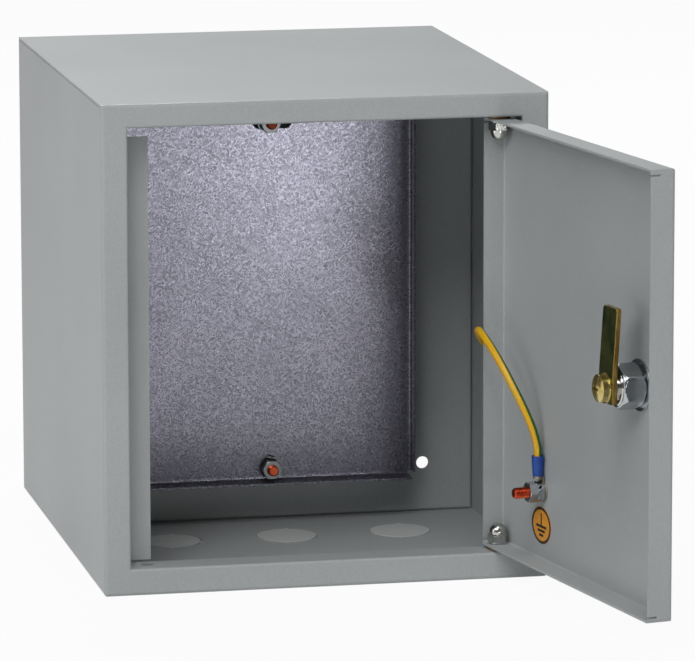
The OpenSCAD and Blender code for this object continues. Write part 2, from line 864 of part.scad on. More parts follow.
// Tube along a route, one ring at each point
module tube(route, d, sides) {
    rings = len(route);
    points = [for (n = [0:rings - 1]) each ring(route, n, d / 2, sides)];
    walls = [for (n = [0:rings - 2], i = [0:sides - 1]) let (j = (i + 1) % sides)
        [n * sides + i, n * sides + j, (n + 1) * sides + j, (n + 1) * sides + i]];
    ends = [[for (i = [sides - 1:-1:0]) i], [for (i = [0:sides - 1]) (rings - 1) * sides + i]];
    polyhedron(points, concat(walls, ends), convexity = 6);
}

module earth_lead() {
    color("yellowgreen") place() tube(lead_route, lead_d, 10);
}

front_frame();
body_wrap();
top_panel();
back_wall();
rear_panel();
knockout_blanks();
mounting_plate();
plate_studs();
plate_spacers();
plate_washers();
plate_spring_washers();
plate_nuts();
body_earth_stud();
body_earth_washer();
body_earth_lug();
body_lug_sleeve();
body_earth_spring_washer();
body_earth_nut();
hinge_bolts();
hinge_bushes();
hinge_washers();
hinge_cap_nuts();
door_panel();
lock_body();
lock_washer();
lock_nut();
door_earth_stud();
door_earth_washer();
door_earth_lug();
door_lug_sleeve();
door_earth_spring_washer();
door_earth_nut();
earth_label();
lock_plug();
cam();
cam_washer();
cam_screw();
earth_lead();
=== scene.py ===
import json
import math

import bmesh
import bpy
import numpy as np
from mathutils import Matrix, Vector


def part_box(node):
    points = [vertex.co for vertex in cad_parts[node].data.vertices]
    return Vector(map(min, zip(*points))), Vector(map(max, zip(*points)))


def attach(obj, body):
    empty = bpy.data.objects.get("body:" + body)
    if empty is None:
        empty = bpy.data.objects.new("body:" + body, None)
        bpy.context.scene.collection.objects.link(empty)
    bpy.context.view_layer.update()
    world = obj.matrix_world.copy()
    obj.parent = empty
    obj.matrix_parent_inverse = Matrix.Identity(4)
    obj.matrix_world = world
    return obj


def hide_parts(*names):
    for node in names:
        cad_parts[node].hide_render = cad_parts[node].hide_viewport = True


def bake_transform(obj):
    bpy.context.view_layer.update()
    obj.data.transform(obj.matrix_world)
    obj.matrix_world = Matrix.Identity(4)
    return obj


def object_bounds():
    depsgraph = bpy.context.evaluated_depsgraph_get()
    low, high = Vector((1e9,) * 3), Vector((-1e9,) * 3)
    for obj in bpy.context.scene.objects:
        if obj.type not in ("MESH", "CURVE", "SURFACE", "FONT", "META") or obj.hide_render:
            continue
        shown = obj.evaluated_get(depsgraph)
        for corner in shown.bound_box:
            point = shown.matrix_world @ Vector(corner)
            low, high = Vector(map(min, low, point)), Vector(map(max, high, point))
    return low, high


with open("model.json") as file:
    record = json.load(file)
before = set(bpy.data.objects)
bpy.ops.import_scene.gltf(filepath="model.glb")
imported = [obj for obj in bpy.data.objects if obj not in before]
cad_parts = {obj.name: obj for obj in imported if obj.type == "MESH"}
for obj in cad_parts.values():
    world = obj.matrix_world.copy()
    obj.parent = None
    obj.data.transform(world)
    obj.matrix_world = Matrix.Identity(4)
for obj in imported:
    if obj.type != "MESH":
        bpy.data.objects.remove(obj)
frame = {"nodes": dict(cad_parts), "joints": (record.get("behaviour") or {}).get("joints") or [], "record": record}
cadBox = [list(corner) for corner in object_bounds()]
nodes = frame["nodes"]
bodyOf = {node: body for body, held in frame["record"]["behaviour"]["bodies"].items() for node in held}
slotOf = {part["node"]: part["material_slot"] for part in frame["record"]["subparts"]}
mm = 0.001
sharpAngle = math.radians(35)  # edges that turn by more than this stay crisp
boxCorner = np.array(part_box("front_frame")[0])  # the box's front bottom left corner
hinge = next(joint for joint in frame["joints"] if joint["name"] == "door_hinge")
hingeAxis = np.array(hinge["pos_m"])
doorTurn = math.radians(-hinge["range_deg"][0])  # the door stands open by this at rest
dressed = {}  # new piece: its finishes, in the order of its material slots


def fromCorner(points):  # millimetres from the box's front bottom left corner to the frame
    return boxCorner + np.asarray(points, float) * mm


def turnedWay(way):  # a direction on the closed door, turned to where the door stands open
    x, y, z = np.moveaxis(np.asarray(way, float), -1, 0)
    c, s = math.cos(doorTurn), math.sin(doorTurn)
    return np.stack([x * c - y * s, x * s + y * c, z], -1)


def onDoor(points):  # points on the closed door, turned in the same way
    return turnedWay(fromCorner(points) - hingeAxis) + hingeAxis


doorInward = turnedWay([0, 1, 0])  # the way that the door's inner face looks


def addObject(name, data):
    made = bpy.data.objects.new(name, data)
    bpy.context.scene.collection.objects.link(made)
    return made


def standIn(piece, node, finish):  # the piece takes the place of the CAD node
    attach(piece, bodyOf[node])
    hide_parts(node)
    dressed[piece.name] = [finish]


# camera
cameraSet = {
    "place": (-0.59976, -3.22973, 0.55033), "tilt": 79.763, "roll": 0.09, "pan": -11.734,
    "lens": 299.8, "sensor": 36, "reach": 60,
}


def addCamera():
    data = bpy.data.cameras.new("camera")
    data.lens = cameraSet["lens"]
    data.sensor_width = cameraSet["sensor"]
    data.clip_end = cameraSet["reach"]
    camera = addObject("camera", data)
    camera.location = cameraSet["place"]
    camera.rotation_euler = [math.radians(cameraSet[key]) for key in ("tilt", "roll", "pan")]
    bpy.context.scene.camera = camera


addCamera()
print("camera placed")


# meshes worked out on rings
def meshObject(name, verts, faces, smooth=True):
    mesh = bpy.data.meshes.new(name)
    mesh.from_pydata(np.asarray(verts, float).tolist(), [], faces)
    mesh.update()
    if smooth:
        mesh.shade_smooth()
        mesh.set_sharp_from_angle(angle=sharpAngle)
    return addObject(name, mesh)


def ringFaces(rows, sides, hollow=False):  # quads between the rings; hollow joins the last to the first
    r, c = np.meshgrid(np.arange(rows if hollow else rows - 1), np.arange(sides), indexing="ij")
    m, n = (r + 1) % rows, (c + 1) % sides
    quads = np.stack([r * sides + c, r * sides + n, m * sides + n, m * sides + c], -1)
    return quads.reshape(-1, 4).tolist()


def capFaces(rows, sides):  # fans over both ends, to the two points that follow the last ring
    i = np.arange(sides)
    n, top, middle = (i + 1) % sides, (rows - 1) * sides, np.full(sides, rows * sides)
    fans = [np.stack([n, i, middle], -1), np.stack([top + i, top + n, middle + 1], -1)]
    return np.vstack(fans).tolist()


def loopVerts(mesh):  # the vertex at each face corner
    held = np.zeros(len(mesh.loops), int)
    mesh.loops.foreach_get("vertex_index", held)
    return held


def smoothPath(points, perSpan):  # Catmull-Rom through the points
    p = np.asarray(points, float)
    p = np.vstack([2 * p[0] - p[1], p, 2 * p[-1] - p[-2]])
    t = np.linspace(0, 1, perSpan, endpoint=False)[None, :, None]
    a, b, c, d = (p[i:len(p) - 3 + i, None, :] for i in range(4))
    bend = (2 * a - 5 * b + 4 * c - d) * t ** 2 + (3 * b - a - 3 * c + d) * t ** 3
    curve = 0.5 * (2 * b + (c - a) * t + bend)
    return np.vstack([curve.reshape(-1, 3), p[-2]])


# the earth lead: from the door's lug over the hinge side to the lug on the side wall
leadSet = {
    "diameter": 4.2 * mm,
    "sides": 20,
    "perSpan": 6,
    "stripeTurn": 0.35,  # turns that the stripe makes round the lead per metre of lead
    "stripeAt": 0.30,  # where the stripe's middle starts, in turns
    "stripeEdge": (0.36, 0.44),  # cosines between which yellow gives way to green
    "yellow": ((226, 170, 20), (240, 188, 30)),
    "green": ((38, 84, 34), (52, 104, 42)),
    "grain": 900.0, "rough": 0.38, "bump": (0.15, 0.05 * mm),
    # distances from the box's front bottom left corner in millimetres
    "route": [
        [226.4, -33, 78.3], [224.4, -31.8, 86.7], [221.5, -29.7, 94.7], [218.4, -26.7, 102.2],
        [215.3, -22.7, 109.4], [212.5, -17.9, 116.1], [209.9, -12.1, 122.2], [207.6, -5.5, 127.4],
        [205.7, 2, 131.5], [205, 10.5, 133.3], [206.2, 18.9, 131.5], [209.1, 26, 127.3],
        [213.3, 31.7, 122.2], [218.7, 35.8, 116.7], [225.2, 38.2, 111.4], [231.2, 39.8, 105.4],
        [234.7, 41.7, 98.2],
    ],
    "doorEnd": [[170.1, 8.1, 70], [170.1, 8.1, 73.3]],  # in the door's sleeve, on the closed door
    "wallLug": [235.4, 50, 75],
    "wallTilt": 20,  # degrees that the wall's lug leans to the front
    "wallEnd": [19.3, 16],  # how far up the lug the last two points lie
    "bendStart": [215, 40, 120],  # a point of the lead on the box's side
    "bendEnd": [215, -24, 120],  # a point of the lead on the door's side
}


def leadPoints():
    tilt = math.radians(leadSet["wallTilt"])
    out = np.array([0, -math.sin(tilt), math.cos(tilt)])
    wall = [np.array(leadSet["wallLug"]) + d * out for d in leadSet["wallEnd"]]
    return np.vstack([onDoor(leadSet["doorEnd"]), fromCorner(leadSet["route"]), fromCorner(wall)])


def tubeAlong(name, path, radius, sides):  # rings square to the path, closed at both ends
    run = np.gradient(path, axis=0)
    run /= np.linalg.norm(run, axis=1)[:, None]
    side = np.cross(run, [1.0, 0, 0])
    side /= np.linalg.norm(side, axis=1)[:, None]
    up = np.cross(side, run)
    turn = np.linspace(0, 2 * math.pi, sides, endpoint=False)[None, :, None]
    rings = path[:, None] + radius * (np.cos(turn) * side[:, None] + np.sin(turn) * up[:, None])
    verts = np.vstack([rings.reshape(-1, 3), path[:1], path[-1:]])
    faces = ringFaces(len(path), sides) + capFaces(len(path), sides)
    return meshObject(name, verts, faces)


def mapAlong(piece, path, sides):  # UV: metres along the tube, and turns round it
    along = np.concatenate([[0], np.cumsum(np.linalg.norm(np.diff(path, axis=0), axis=1))])
    loops = loopVerts(piece.data)
    ring = np.minimum(loops // sides, len(path) - 1)
    around = (loops % sides) / sides
    corners = np.zeros(len(piece.data.polygons), int)
    piece.data.polygons.foreach_get("loop_total", corners)
    faceOf = np.repeat(np.arange(len(corners)), corners)
    low, high = np.full(len(corners), np.inf), np.full(len(corners), -np.inf)
    np.minimum.at(low, faceOf, around)
    np.maximum.at(high, faceOf, around)
    acrossSeam = (high - low)[faceOf] > 0.5  # a face that closes the turn goes on past 1
    around = np.where(acrossSeam & (around < 0.5), around + 1, around)
    uv = piece.data.uv_layers.new(name="alongLead")
    uv.data.foreach_set("uv", np.stack([along[ring], around], -1).ravel())


leadPath = smoothPath(leadPoints(), leadSet["perSpan"])
lead = tubeAlong("earth_lead_flex", leadPath, leadSet["diameter"] / 2, leadSet["sides"])
mapAlong(lead, leadPath, leadSet["sides"])
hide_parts("earth_lead")
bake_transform(lead)
dressed["earth_lead_flex"] = ["lead"]


# turned pieces: a ring of radii at each height along an axis
def turnedPiece(name, node, finish, seat, axis, heights, radii, hollow=False):
    axis = np.asarray(axis, float)
    across = np.cross(axis, [1.0, 0, 0] if abs(axis[2]) > 0.9 else [0, 0, 1.0])
    across /= np.linalg.norm(across)
    up = np.cross(axis, across)
    rows, sides = radii.shape
    turn = np.linspace(0, 2 * math.pi, sides, endpoint=False)
    spoke = np.cos(turn)[:, None] * across + np.sin(turn)[:, None] * up
    rings = seat + heights[:, None, None] * axis + radii[..., None] * spoke
    verts = rings.reshape(-1, 3)
    faces = ringFaces(rows, sides, hollow)
    if not hollow:
        verts = np.vstack([verts, [seat + heights[0] * axis], [seat + heights[-1] * axis]])
        faces += capFaces(rows, sides)
    piece = meshObject(name, verts, faces)
    standIn(piece, node, finish)
    return piece


threadSet = {
    "halfWidth": 0.36,  # of the groove, as a share of the pitch
    "fullness": 0.85,  # under 1 the groove's floor is rounder
}


def threadRadii(heights, sides, radius, pitch, depth):  # a groove that climbs one pitch a turn
    turn = np.arange(sides) / sides
    phase = (heights[:, None] / pitch - turn[None, :]) % 1.0
    groove = np.clip(1 - np.abs(phase - 0.5) / threadSet["halfWidth"], 0, 1)
    return radius - depth * groove ** threadSet["fullness"]


# threaded studs: a weld collar, the thread and a chamfered tip
studSet = {
    "radius": 3 * mm, "pitch": 1 * mm, "depth": 0.6 * mm, "tip": 0.8 * mm, "sides": 32, "rowsPerTurn": 7,
    "footIn": 0.2 * mm, "footUp": 0.15 * mm,  # the collar's lower edge
    "collarEase": 0.25 * mm,  # its upper edge
    "doorSeat": [170.1, 4.7, 54],
}
studs = {  # name: node, length, collar radius, collar height, finish
    "plate_stud_lower": ("plate_studs", 25 * mm, 3.6 * mm, 0.8 * mm, "copper"),
    "plate_stud_upper": ("plate_studs", 25 * mm, 3.6 * mm, 0.8 * mm, "dull_copper_painted_shade"),  # painted shade: a darker copper, as it stands in the plate's shade
    "wall_earth_thread": ("body_earth_stud", 17.5 * mm, 5 * mm, 0.8 * mm, "copper"),
    "door_earth_thread": ("door_earth_stud", 17.5 * mm, 5 * mm, 0.8 * mm, "copper"),
}


def studSeat(name, node, collar):  # where the stud's foot stands and which way it points
    low, high = (np.array(corner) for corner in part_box(node))
    middle = (low + high) / 2
    if name.startswith("plate"):
        z = low[2] + collar if "lower" in name else high[2] - collar
        return np.array([middle[0], high[1], z]), np.array([0, -1.0, 0])
    if name.startswith("wall"):
        return np.array([high[0], middle[1], middle[2]]), np.array([-1.0, 0, 0])
    return onDoor(studSet["doorSeat"]), doorInward


def addStud(name, node, length, collar, collarHeight, finish):
    s = studSet
    seat, axis = studSeat(name, node, collar)
    steps = int(round((length - collarHeight) / s["pitch"] * s["rowsPerTurn"]))
    run = np.linspace(collarHeight, length, steps)
    shank = threadRadii(run, s["sides"], s["radius"], s["pitch"], s["depth"])
    shank = np.minimum(shank, (s["radius"] - s["tip"] + (length - run))[:, None])
    foot = np.full((4, s["sides"]), collar)
    foot[0] -= s["footIn"]
    foot[3] -= s["collarEase"]
    heights = np.concatenate([[0, s["footUp"], collarHeight - s["collarEase"], collarHeight], run])
    piece = turnedPiece(name, node, finish, seat, axis, heights, np.vstack([foot, shank]))
    painted = np.zeros(len(piece.data.polygons), np.int32)
    painted[:len(foot) * s["sides"]] = 1  # the collar is under the paint
    piece.data.polygons.foreach_set("material_index", painted)
    dressed[name].append("paint")


for name, stud in studs.items():
    addStud(name, *stud)
print("threaded studs:", len(studs))

# the lock's barrel: a front rim, a thread with two flats and the plug's bore
barrelSet = {
    "seat": [53, 3.5, 131.5], "length": 16 * mm, "radius": 10 * mm, "flat": 9 * mm, "bore": 7.05 * mm,
    "rim": 12 * mm, "rimHeight": 3 * mm, "lip": 0.8 * mm, "rimEase": 0.2 * mm,
    "pitch": 1.5 * mm, "depth": 0.65 * mm, "tip": 0.7 * mm, "rows": 78, "sides": 72,
    "step": 0.01 * mm,  # keeps the rings between rim and thread apart
    "least": 0.01,  # least sine that the flats divide by
}


def addBarrel():
    s = barrelSet
    turn = np.linspace(0, 2 * math.pi, s["sides"], endpoint=False)
    run = np.linspace(2 * s["step"], s["length"], s["rows"])
    shank = threadRadii(run, s["sides"], s["radius"], s["pitch"], s["depth"])
    shank = np.minimum(shank, (s["radius"] - s["tip"] + (s["length"] - run))[:, None])
    shank = np.minimum(shank, s["flat"] / np.maximum(np.abs(np.sin(turn)), s["least"])[None, :])
    rim = np.array([
        (-s["rimHeight"], s["bore"]), (-s["rimHeight"], s["rim"] - s["lip"]),
        (s["lip"] - s["rimHeight"], s["rim"]), (-s["rimEase"], s["rim"]),
        (0, s["rim"] - s["rimEase"]), (s["step"], s["radius"]),
    ])
    front = np.repeat(rim[:, 1:], s["sides"], 1)
    heights = np.concatenate([rim[:, 0], run, [s["length"]]])
    radii = np.vstack([front, shank, np.full((1, s["sides"]), s["bore"])])
    turnedPiece("lock_barrel_thread", "lock_body", "nickel", onDoor(s["seat"]), doorInward, heights, radii,
                hollow=True)


addBarrel()

# the lock's nut: a long hexagon with both ends chamfered
lockNutSet = {
    "seat": [53, 5.9, 131.5], "height": 12.8 * mm, "flats": 21.4 * mm, "bore": 10.03 * mm, "sides": 144,
    "corner": 1.135,  # the rubbed corners' reach over half the flats
    "rise": [0, 0.1, 0.5, 1, 1.6, 2.4],  # millimetres from the end, along the chamfer
    "share": [0.93, 0.965, 1.005, 1.04, 1.09, 1.14],  # the chamfer's radius there, over half the flats
}


def addLockNut():
    s = lockNutSet
    half = s["flats"] / 2
    turn = np.linspace(0, 2 * math.pi, s["sides"], endpoint=False)
    sector = (turn + math.pi / 6) % (math.pi / 3) - math.pi / 6
    flat = np.minimum(half / np.cos(sector), half * s["corner"])
    rise = np.array(s["rise"]) * mm
    low = np.minimum(flat[None, :], (np.array(s["share"]) * half)[:, None])
    heights = np.concatenate([[0], rise, s["height"] - rise[::-1], [s["height"]]])
    bore = np.full((1, s["sides"]), s["bore"])
    radii = np.vstack([bore, low, low[::-1], bore])
    turnedPiece("lock_nut_long", "lock_nut", "zinc", onDoor(s["seat"]), doorInward, heights, radii,
                hollow=True)


addLockNut()

# the insulating sleeve on the door's lug: it widens towards its mouth
sleeveSet = {
    "seat": [170.1, 8.1, 54], "from": 8.5 * mm, "to": 19.3 * mm, "narrow": 2.75 * mm, "wide": 3.28 * mm,
    "flare": 0.8,  # under 1 the sleeve widens earlier
    "endEase": (0.15 * mm, 0.12 * mm), "wall": 0.4 * mm, "bore": 2.5 * mm, "sides": 40, "rows": 22,
}


def addSleeve():
    s = sleeveSet
    share = np.linspace(0, 1, s["rows"])
    outer = s["narrow"] + (s["wide"] - s["narrow"]) * (3 * share ** 2 - 2 * share ** 3) ** s["flare"]
    outer[[0, -1]] -= s["endEase"]
    inner = np.maximum(outer - s["wall"], s["bore"])
    heights = s["from"] + (s["to"] - s["from"]) * np.concatenate([share, share[::-1]])
    radii = np.repeat(np.concatenate([outer, inner[::-1]])[:, None], s["sides"], 1)
    turnedPiece("door_sleeve_flared", "door_lug_sleeve", "blue_sleeve", onDoor(s["seat"]), [0, 0, 1],
                heights, radii, hollow=True)


# the earth label: a thin film with a rolled edge, its print laid out on the film's own map in millimetres
labelSet = {
    "seat": [172.4, 4.7, 35], "wide": 1.22, "sides": 96,
    # height and radius of each ring, in millimetres
    "profile": [(0, 9.9), (0.05, 10), (0.12, 10), (0.17, 9.96), (0.2, 9.85), (0.2, 6), (0.2, 2)],
    "ring": (9.1, 0.75),  # middle and half width of the printed ring
    "upright": (0.0, 0.62, -0.6, 6.6),  # middle, half width, foot and top of the upright bar
    "bars": [(-0.6, 5.2), (-3.0, 3.7), (-5.3, 2.2)],  # height and half length of each crossbar
    "barHalf": 0.72,
    "film": ((232, 150, 34), (244, 170, 46)),
    "ink": ((34, 26, 20), (46, 36, 28)),
    "cloud": 300.0, "rough": (0.3, 0.46), "bump": (0.2, 0.03 * mm),
}


def addLabel():
    s = labelSet
    profile = np.array(s["profile"]) * mm
    turn = np.linspace(0, 2 * math.pi, s["sides"], endpoint=False)
    radii = profile[:, 1:] / np.hypot(np.cos(turn) / s["wide"], np.sin(turn))
    seat = onDoor(s["seat"])
    piece = turnedPiece("earth_label_film", "earth_label", "label", seat, doorInward, profile[:, 0], radii)
    points = np.zeros(len(piece.data.vertices) * 3)
    piece.data.vertices.foreach_get("co", points)
    rel = points.reshape(-1, 3) - seat
    flat = np.stack([rel @ turnedWay([1, 0, 0]) / s["wide"], rel[:, 2]], -1) / mm
    printMap = piece.data.uv_layers.new(name="printMap")
    printMap.data.foreach_set("uv", flat[loopVerts(piece.data)].ravel())


addSleeve()
addLabel()
print("barrel, nut, sleeve and label made")


# rigid parts whose edges are eased: the node's own shape, its doubles merged and its edges bevelled
easeSet = {
    "merge": 1e-6, "flatten": math.radians(0.5), "segments": 2,
    "facing": 0.9,  # least cosine at which a face counts as looking along the axis
}
easedParts = {  # node: new name, width of the eased edge, finish
    "cam": ("lock_cam_arm", 0.35 * mm, "yellow_zinc"),
    "lock_washer": ("lock_washer_eased", 0.2 * mm, "zinc"),
    "cam_washer": ("cam_washer_eased", 0.25 * mm, "gold_zinc"),
    "cam_screw": ("cam_screw_eased", 0.15 * mm, "gold_zinc"),
    "knockout_blanks": ("knockout_blanks_eased", 0.15 * mm, "floor_blank"),
    "mounting_plate": ("mounting_plate_eased", 0.15 * mm, "galvanised"),
}


def easedCopy(node, name, width, finish):
    shell = bmesh.new()
    shell.from_mesh(nodes[node].data)
    bmesh.ops.remove_doubles(shell, verts=shell.verts, dist=easeSet["merge"])
    bmesh.ops.dissolve_limit(shell, angle_limit=easeSet["flatten"], verts=shell.verts, edges=shell.edges)
    mesh = bpy.data.meshes.new(name)
    shell.to_mesh(mesh)
    shell.free()
    mesh.shade_smooth()
    mesh.set_sharp_from_angle(angle=sharpAngle)
    piece = addObject(name, mesh)
    bevel = piece.modifiers.new("easedEdges", "BEVEL")
    bevel.width = width
    bevel.segments = easeSet["segments"]
    bevel.limit_method = "ANGLE"
    bevel.angle_limit = sharpAngle
    bevel.harden_normals = True
    standIn(piece, node, finish)


def edgeSlot(name, axis, finish):  # faces that don't look along the axis take a second finish
    faces = bpy.data.objects[name].data.polygons
    normals = np.zeros(len(faces) * 3)
    faces.foreach_get("normal", normals)
    facing = np.abs(normals.reshape(-1, 3) @ axis)
    faces.foreach_set("material_index", (facing < easeSet["facing"]).astype(np.int32))
    dressed[name].append(finish)


for node, eased in easedParts.items():
    easedCopy(node, *eased)
edgeSlot("lock_cam_arm", doorInward, "yellow_zinc_edge")
print("eased copies:", len(easedParts))


# material helpers
def fill(tree, node, inputs):  # a socket is linked, any other value is set on the node's own input
    for key, value in inputs.items():
        if isinstance(value, bpy.types.NodeSocket):
            tree.links.new(value, node.inputs[key])
        else:
            node.inputs[key].default_value = value
    return node


def addNode(tree, kind, inputs, **settings):
    node = tree.nodes.new("ShaderNode" + kind)
    for key, value in settings.items():
        setattr(node, key, value)
    return fill(tree, node, inputs)


def startMaterial(name):
    material = bpy.data.materials.new(name)
    material.use_nodes = True
    tree = material.node_tree
    tree.nodes.clear()
    out = addNode(tree, "OutputMaterial", {})
    shader = addNode(tree, "BsdfPrincipled", {})
    fill(tree, out, {"Surface": shader.outputs["BSDF"]})
    place = addNode(tree, "TexCoord", {})
    return material, tree, shader, place.outputs["Object"]


def shade(value):  # a colour written in sRGB levels, as the linear value that the shader takes
    value = np.asarray(value, float) / 255
    return tuple(np.where(value <= 0.04045, value / 12.92, ((value + 0.055) / 1.055) ** 2.4).tolist())


def math2(tree, operation, a, b=0.0, clamp=False):
    return addNode(tree, "Math", {0: a, 1: b}, operation=operation, use_clamp=clamp).outputs[0]


def weighted(tree, *pairs):  # the sum of each value times its share
    parts = [math2(tree, "MULTIPLY", value, share) for value, share in pairs]
    total = parts[0]
    for part in parts[1:]:
        total = math2(tree, "ADD", total, part)
    return total


def noise(tree, place, scale, detail, **more):
    inputs = {"Vector": place, "Scale": scale, "Detail": detail, **more}
    return addNode(tree, "TexNoise", inputs).outputs["Fac"]


def ramp(tree, value, stops):
    node = addNode(tree, "ValToRGB", {"Fac": value})
    while len(node.color_ramp.elements) < len(stops):
        node.color_ramp.elements.new(0.5)
    for element, (at, colour) in zip(node.color_ramp.elements, stops):
        element.position = at
        element.color = (*colour, 1)
    return node.outputs["Color"]


def drift(tree, value, deep, light):  # a noise drifts from one sRGB colour to the other
    return ramp(tree, value, [(0.3, shade(deep)), (0.7, shade(light))])


def spread(tree, value, low, high, ends=(0.3, 0.7)):  # the value between the ends, as low to high
    return addNode(tree, "MapRange", {"Value": value, "From Min": ends[0], "From Max": ends[1],
                                      "To Min": low, "To Max": high}).outputs[0]


def within(tree, value, middle, half, soft=0.07):  # 1 where the value lies within half of the middle
    away = math2(tree, "ABSOLUTE", math2(tree, "SUBTRACT", value, middle))
    return spread(tree, away, 1.0, 0.0, (half - soft, half + soft))


def mixColour(tree, share, a, b, blend="MIX"):
    return addNode(tree, "Mix", {0: share, 6: a, 7: b}, data_type="RGBA", blend_type=blend).outputs[2]


def relief(tree, height, strength, depth):
    return addNode(tree, "Bump", {"Strength": strength, "Distance": depth, "Height": height}).outputs[0]


def newGroup(name, inputs):  # label, kind and default of each input
    group = bpy.data.node_groups.new(name, "ShaderNodeTree")
    for label, kind, value in inputs:
        socket = group.interface.new_socket(label, in_out="INPUT", socket_type="NodeSocket" + kind)
        if value is not None:
            socket.default_value = value
    return group, group.nodes.new("NodeGroupInput").outputs


def closeGroup(group, outputs):  # label and source of each output
    for label in outputs:
        group.interface.new_socket(label, in_out="OUTPUT", socket_type="NodeSocketFloat")
    fill(group, group.nodes.new("NodeGroupOutput"), outputs)
    return group


def useGroup(tree, group, inputs):
    node = tree.nodes.new("ShaderNodeGroup")
    node.node_tree = group
    return fill(tree, node, inputs).outputs


# the paint: powder coat with fine orange peel and a slow change of tone
paintSet = {
    "light": (184, 188, 188), "deep": (177, 181, 182),
    "grain": 1500.0,
    "coarse": 0.37, "coarseShare": 0.8,  # scale and height of the coarser peel, over the fine one's
    "drift": 9.0,
    "specks": [(0.35, (0.9,) * 3), (0.62, (1.0,) * 3)],
    "rough": (0.36, 0.52), "specular": 0.45, "bump": (0.55, 0.16 * mm),
}


def buildPaintGrain():
    s = paintSet
    group, given = newGroup("paintGrain", [("Place", "Vector", None), ("Grain", "Float", s["grain"])])
    fine = noise(group, given["Place"], given["Grain"], 2.0, Roughness=0.55)
    coarse = noise(group, given["Place"], math2(group, "MULTIPLY", given["Grain"], s["coarse"]), 1.0)
    slow = noise(group, given["Place"], s["drift"], 3.0)
    height = math2(group, "ADD", fine, math2(group, "MULTIPLY", coarse, s["coarseShare"]))
    return closeGroup(group, {"Height": height, "Tone": slow, "Speck": fine})


def paintFinish(name, light, deep):
    s = paintSet
    material, tree, shader, place = startMaterial(name)
    grain = useGroup(tree, paintGrain, {"Place": place})
    tone = drift(tree, grain["Tone"], deep, light)
    fill(tree, shader, {
        "Base Color": mixColour(tree, 1.0, tone, ramp(tree, grain["Speck"], s["specks"]), "MULTIPLY"),
        "Roughness": spread(tree, grain["Speck"], *s["rough"]),
        "Normal": relief(tree, grain["Height"], *s["bump"]),
        "Specular IOR Level": s["specular"],
    })
    return material


# the mounting plate: hot-dip galvanised sheet, a fine flecked grain over slow clouds
sheetSet = {
    "warp": 500.0, "warpReach": 1.1 * mm, "fleck": 1050.0, "spangle": 760.0, "cloud": 26.0,
    "shares": (0.14, 0.86, 0.12),  # of the spangle, the fleck and the cloud
    "tones": [(0.36, (84, 84, 93)), (0.46, (110, 110, 120)), (0.6, (126, 125, 137)),
              (0.78, (152, 150, 162))],
    "rough": (0.3, 0.25), "roughEnds": (0.35, 0.75), "metallic": 0.85, "bump": (0.14, 0.06 * mm),
}


def zincSheetFinish():
    s = sheetSet
    material, tree, shader, place = startMaterial("galvanisedSheet")
    warp = addNode(tree, "TexNoise", {"Vector": place, "Scale": s["warp"], "Detail": 1.0}).outputs["Color"]
    moved = addNode(tree, "VectorMath", {0: warp, 1: (s["warpReach"],) * 3, 2: place},
                    operation="MULTIPLY_ADD").outputs[0]
    fleck = noise(tree, moved, s["fleck"], 3.0, Roughness=0.62)
    spangle = addNode(tree, "TexVoronoi", {"Vector": moved, "Scale": s["spangle"]}).outputs["Color"]
    spangle = addNode(tree, "SeparateColor", {"Color": spangle}).outputs[0]
    cloud = noise(tree, place, s["cloud"], 3.0)
    mixed = weighted(tree, *zip((spangle, fleck, cloud), s["shares"]))
    fill(tree, shader, {
        "Base Color": ramp(tree, mixed, [(at, shade(tone)) for at, tone in s["tones"]]),
        "Roughness": spread(tree, mixed, *s["rough"], s["roughEnds"]),
        "Normal": relief(tree, mixed, *s["bump"]),
        "Metallic": s["metallic"],
    })
    return material


# plated metals: fine marks that vary the shine, and a cloudy change of tone
platedSet = {"marks": 420.0, "cloud": 160.0, "rough": (-0.01, 0.02), "bump": (0.05, 0.02 * mm)}


def buildBrushed():
    group, given = newGroup("brushedMarks", [
        ("Place", "Vector", None), ("Stretch", "Vector", (1.0, 1.0, 1.0)),
        ("Scale", "Float", platedSet["marks"])])
    bent = addNode(group, "VectorMath", {0: given["Place"], 1: given["Stretch"]},
                   operation="MULTIPLY").outputs[0]
    marks = noise(group, bent, given["Scale"], 2.0, Roughness=0.5)
    cloud = noise(group, given["Place"], platedSet["cloud"], 3.0)
    return closeGroup(group, {"Marks": marks, "Cloud": cloud})


def platedFinish(name, light, deep, rough):
    s = platedSet
    material, tree, shader, place = startMaterial(name)
    brushed = useGroup(tree, brushedMarks, {"Place": place})
    fill(tree, shader, {
        "Base Color": drift(tree, brushed["Cloud"], deep, light),
        "Roughness": spread(tree, brushed["Marks"], *(rough + step for step in s["rough"])),
        "Normal": relief(tree, brushed["Marks"], *s["bump"]),
        "Metallic": 1.0,
    })
    return material


# yellow chromate over zinc: drifting olive, green and gold
passivatedSet = {
    "stretch": (1.0, 1.0, 0.12), "marks": 1300.0, "cloud": 70.0, "bent": 0.6,
    "shares": (0.35, 0.65),  # of the marks and the cloud
    "stops": (0.36, 0.5, 0.64),  # where the deep, middle and light tones lie
    "rough": (-0.02, 0.04), "metallic": 0.9, "bump": (0.06, 0.02 * mm),
}


def passivatedFinish(name, deep, middle, light, rough):
    s = passivatedSet
    material, tree, shader, place = startMaterial(name)
    brushed = useGroup(tree, brushedMarks, {"Place": place, "Stretch": s["stretch"], "Scale": s["marks"]})
    marks = brushed["Marks"]
    cloud = noise(tree, place, s["cloud"], 2.0, Distortion=s["bent"])
    both = weighted(tree, *zip((marks, cloud), s["shares"]))
    fill(tree, shader, {
        "Base Color": ramp(tree, both, list(zip(s["stops"], map(shade, (deep, middle, light))))),
        "Roughness": spread(tree, marks, *(rough + step for step in s["rough"])),
        "Normal": relief(tree, marks, *s["bump"]),
        "Metallic": s["metallic"],
    })
    return material


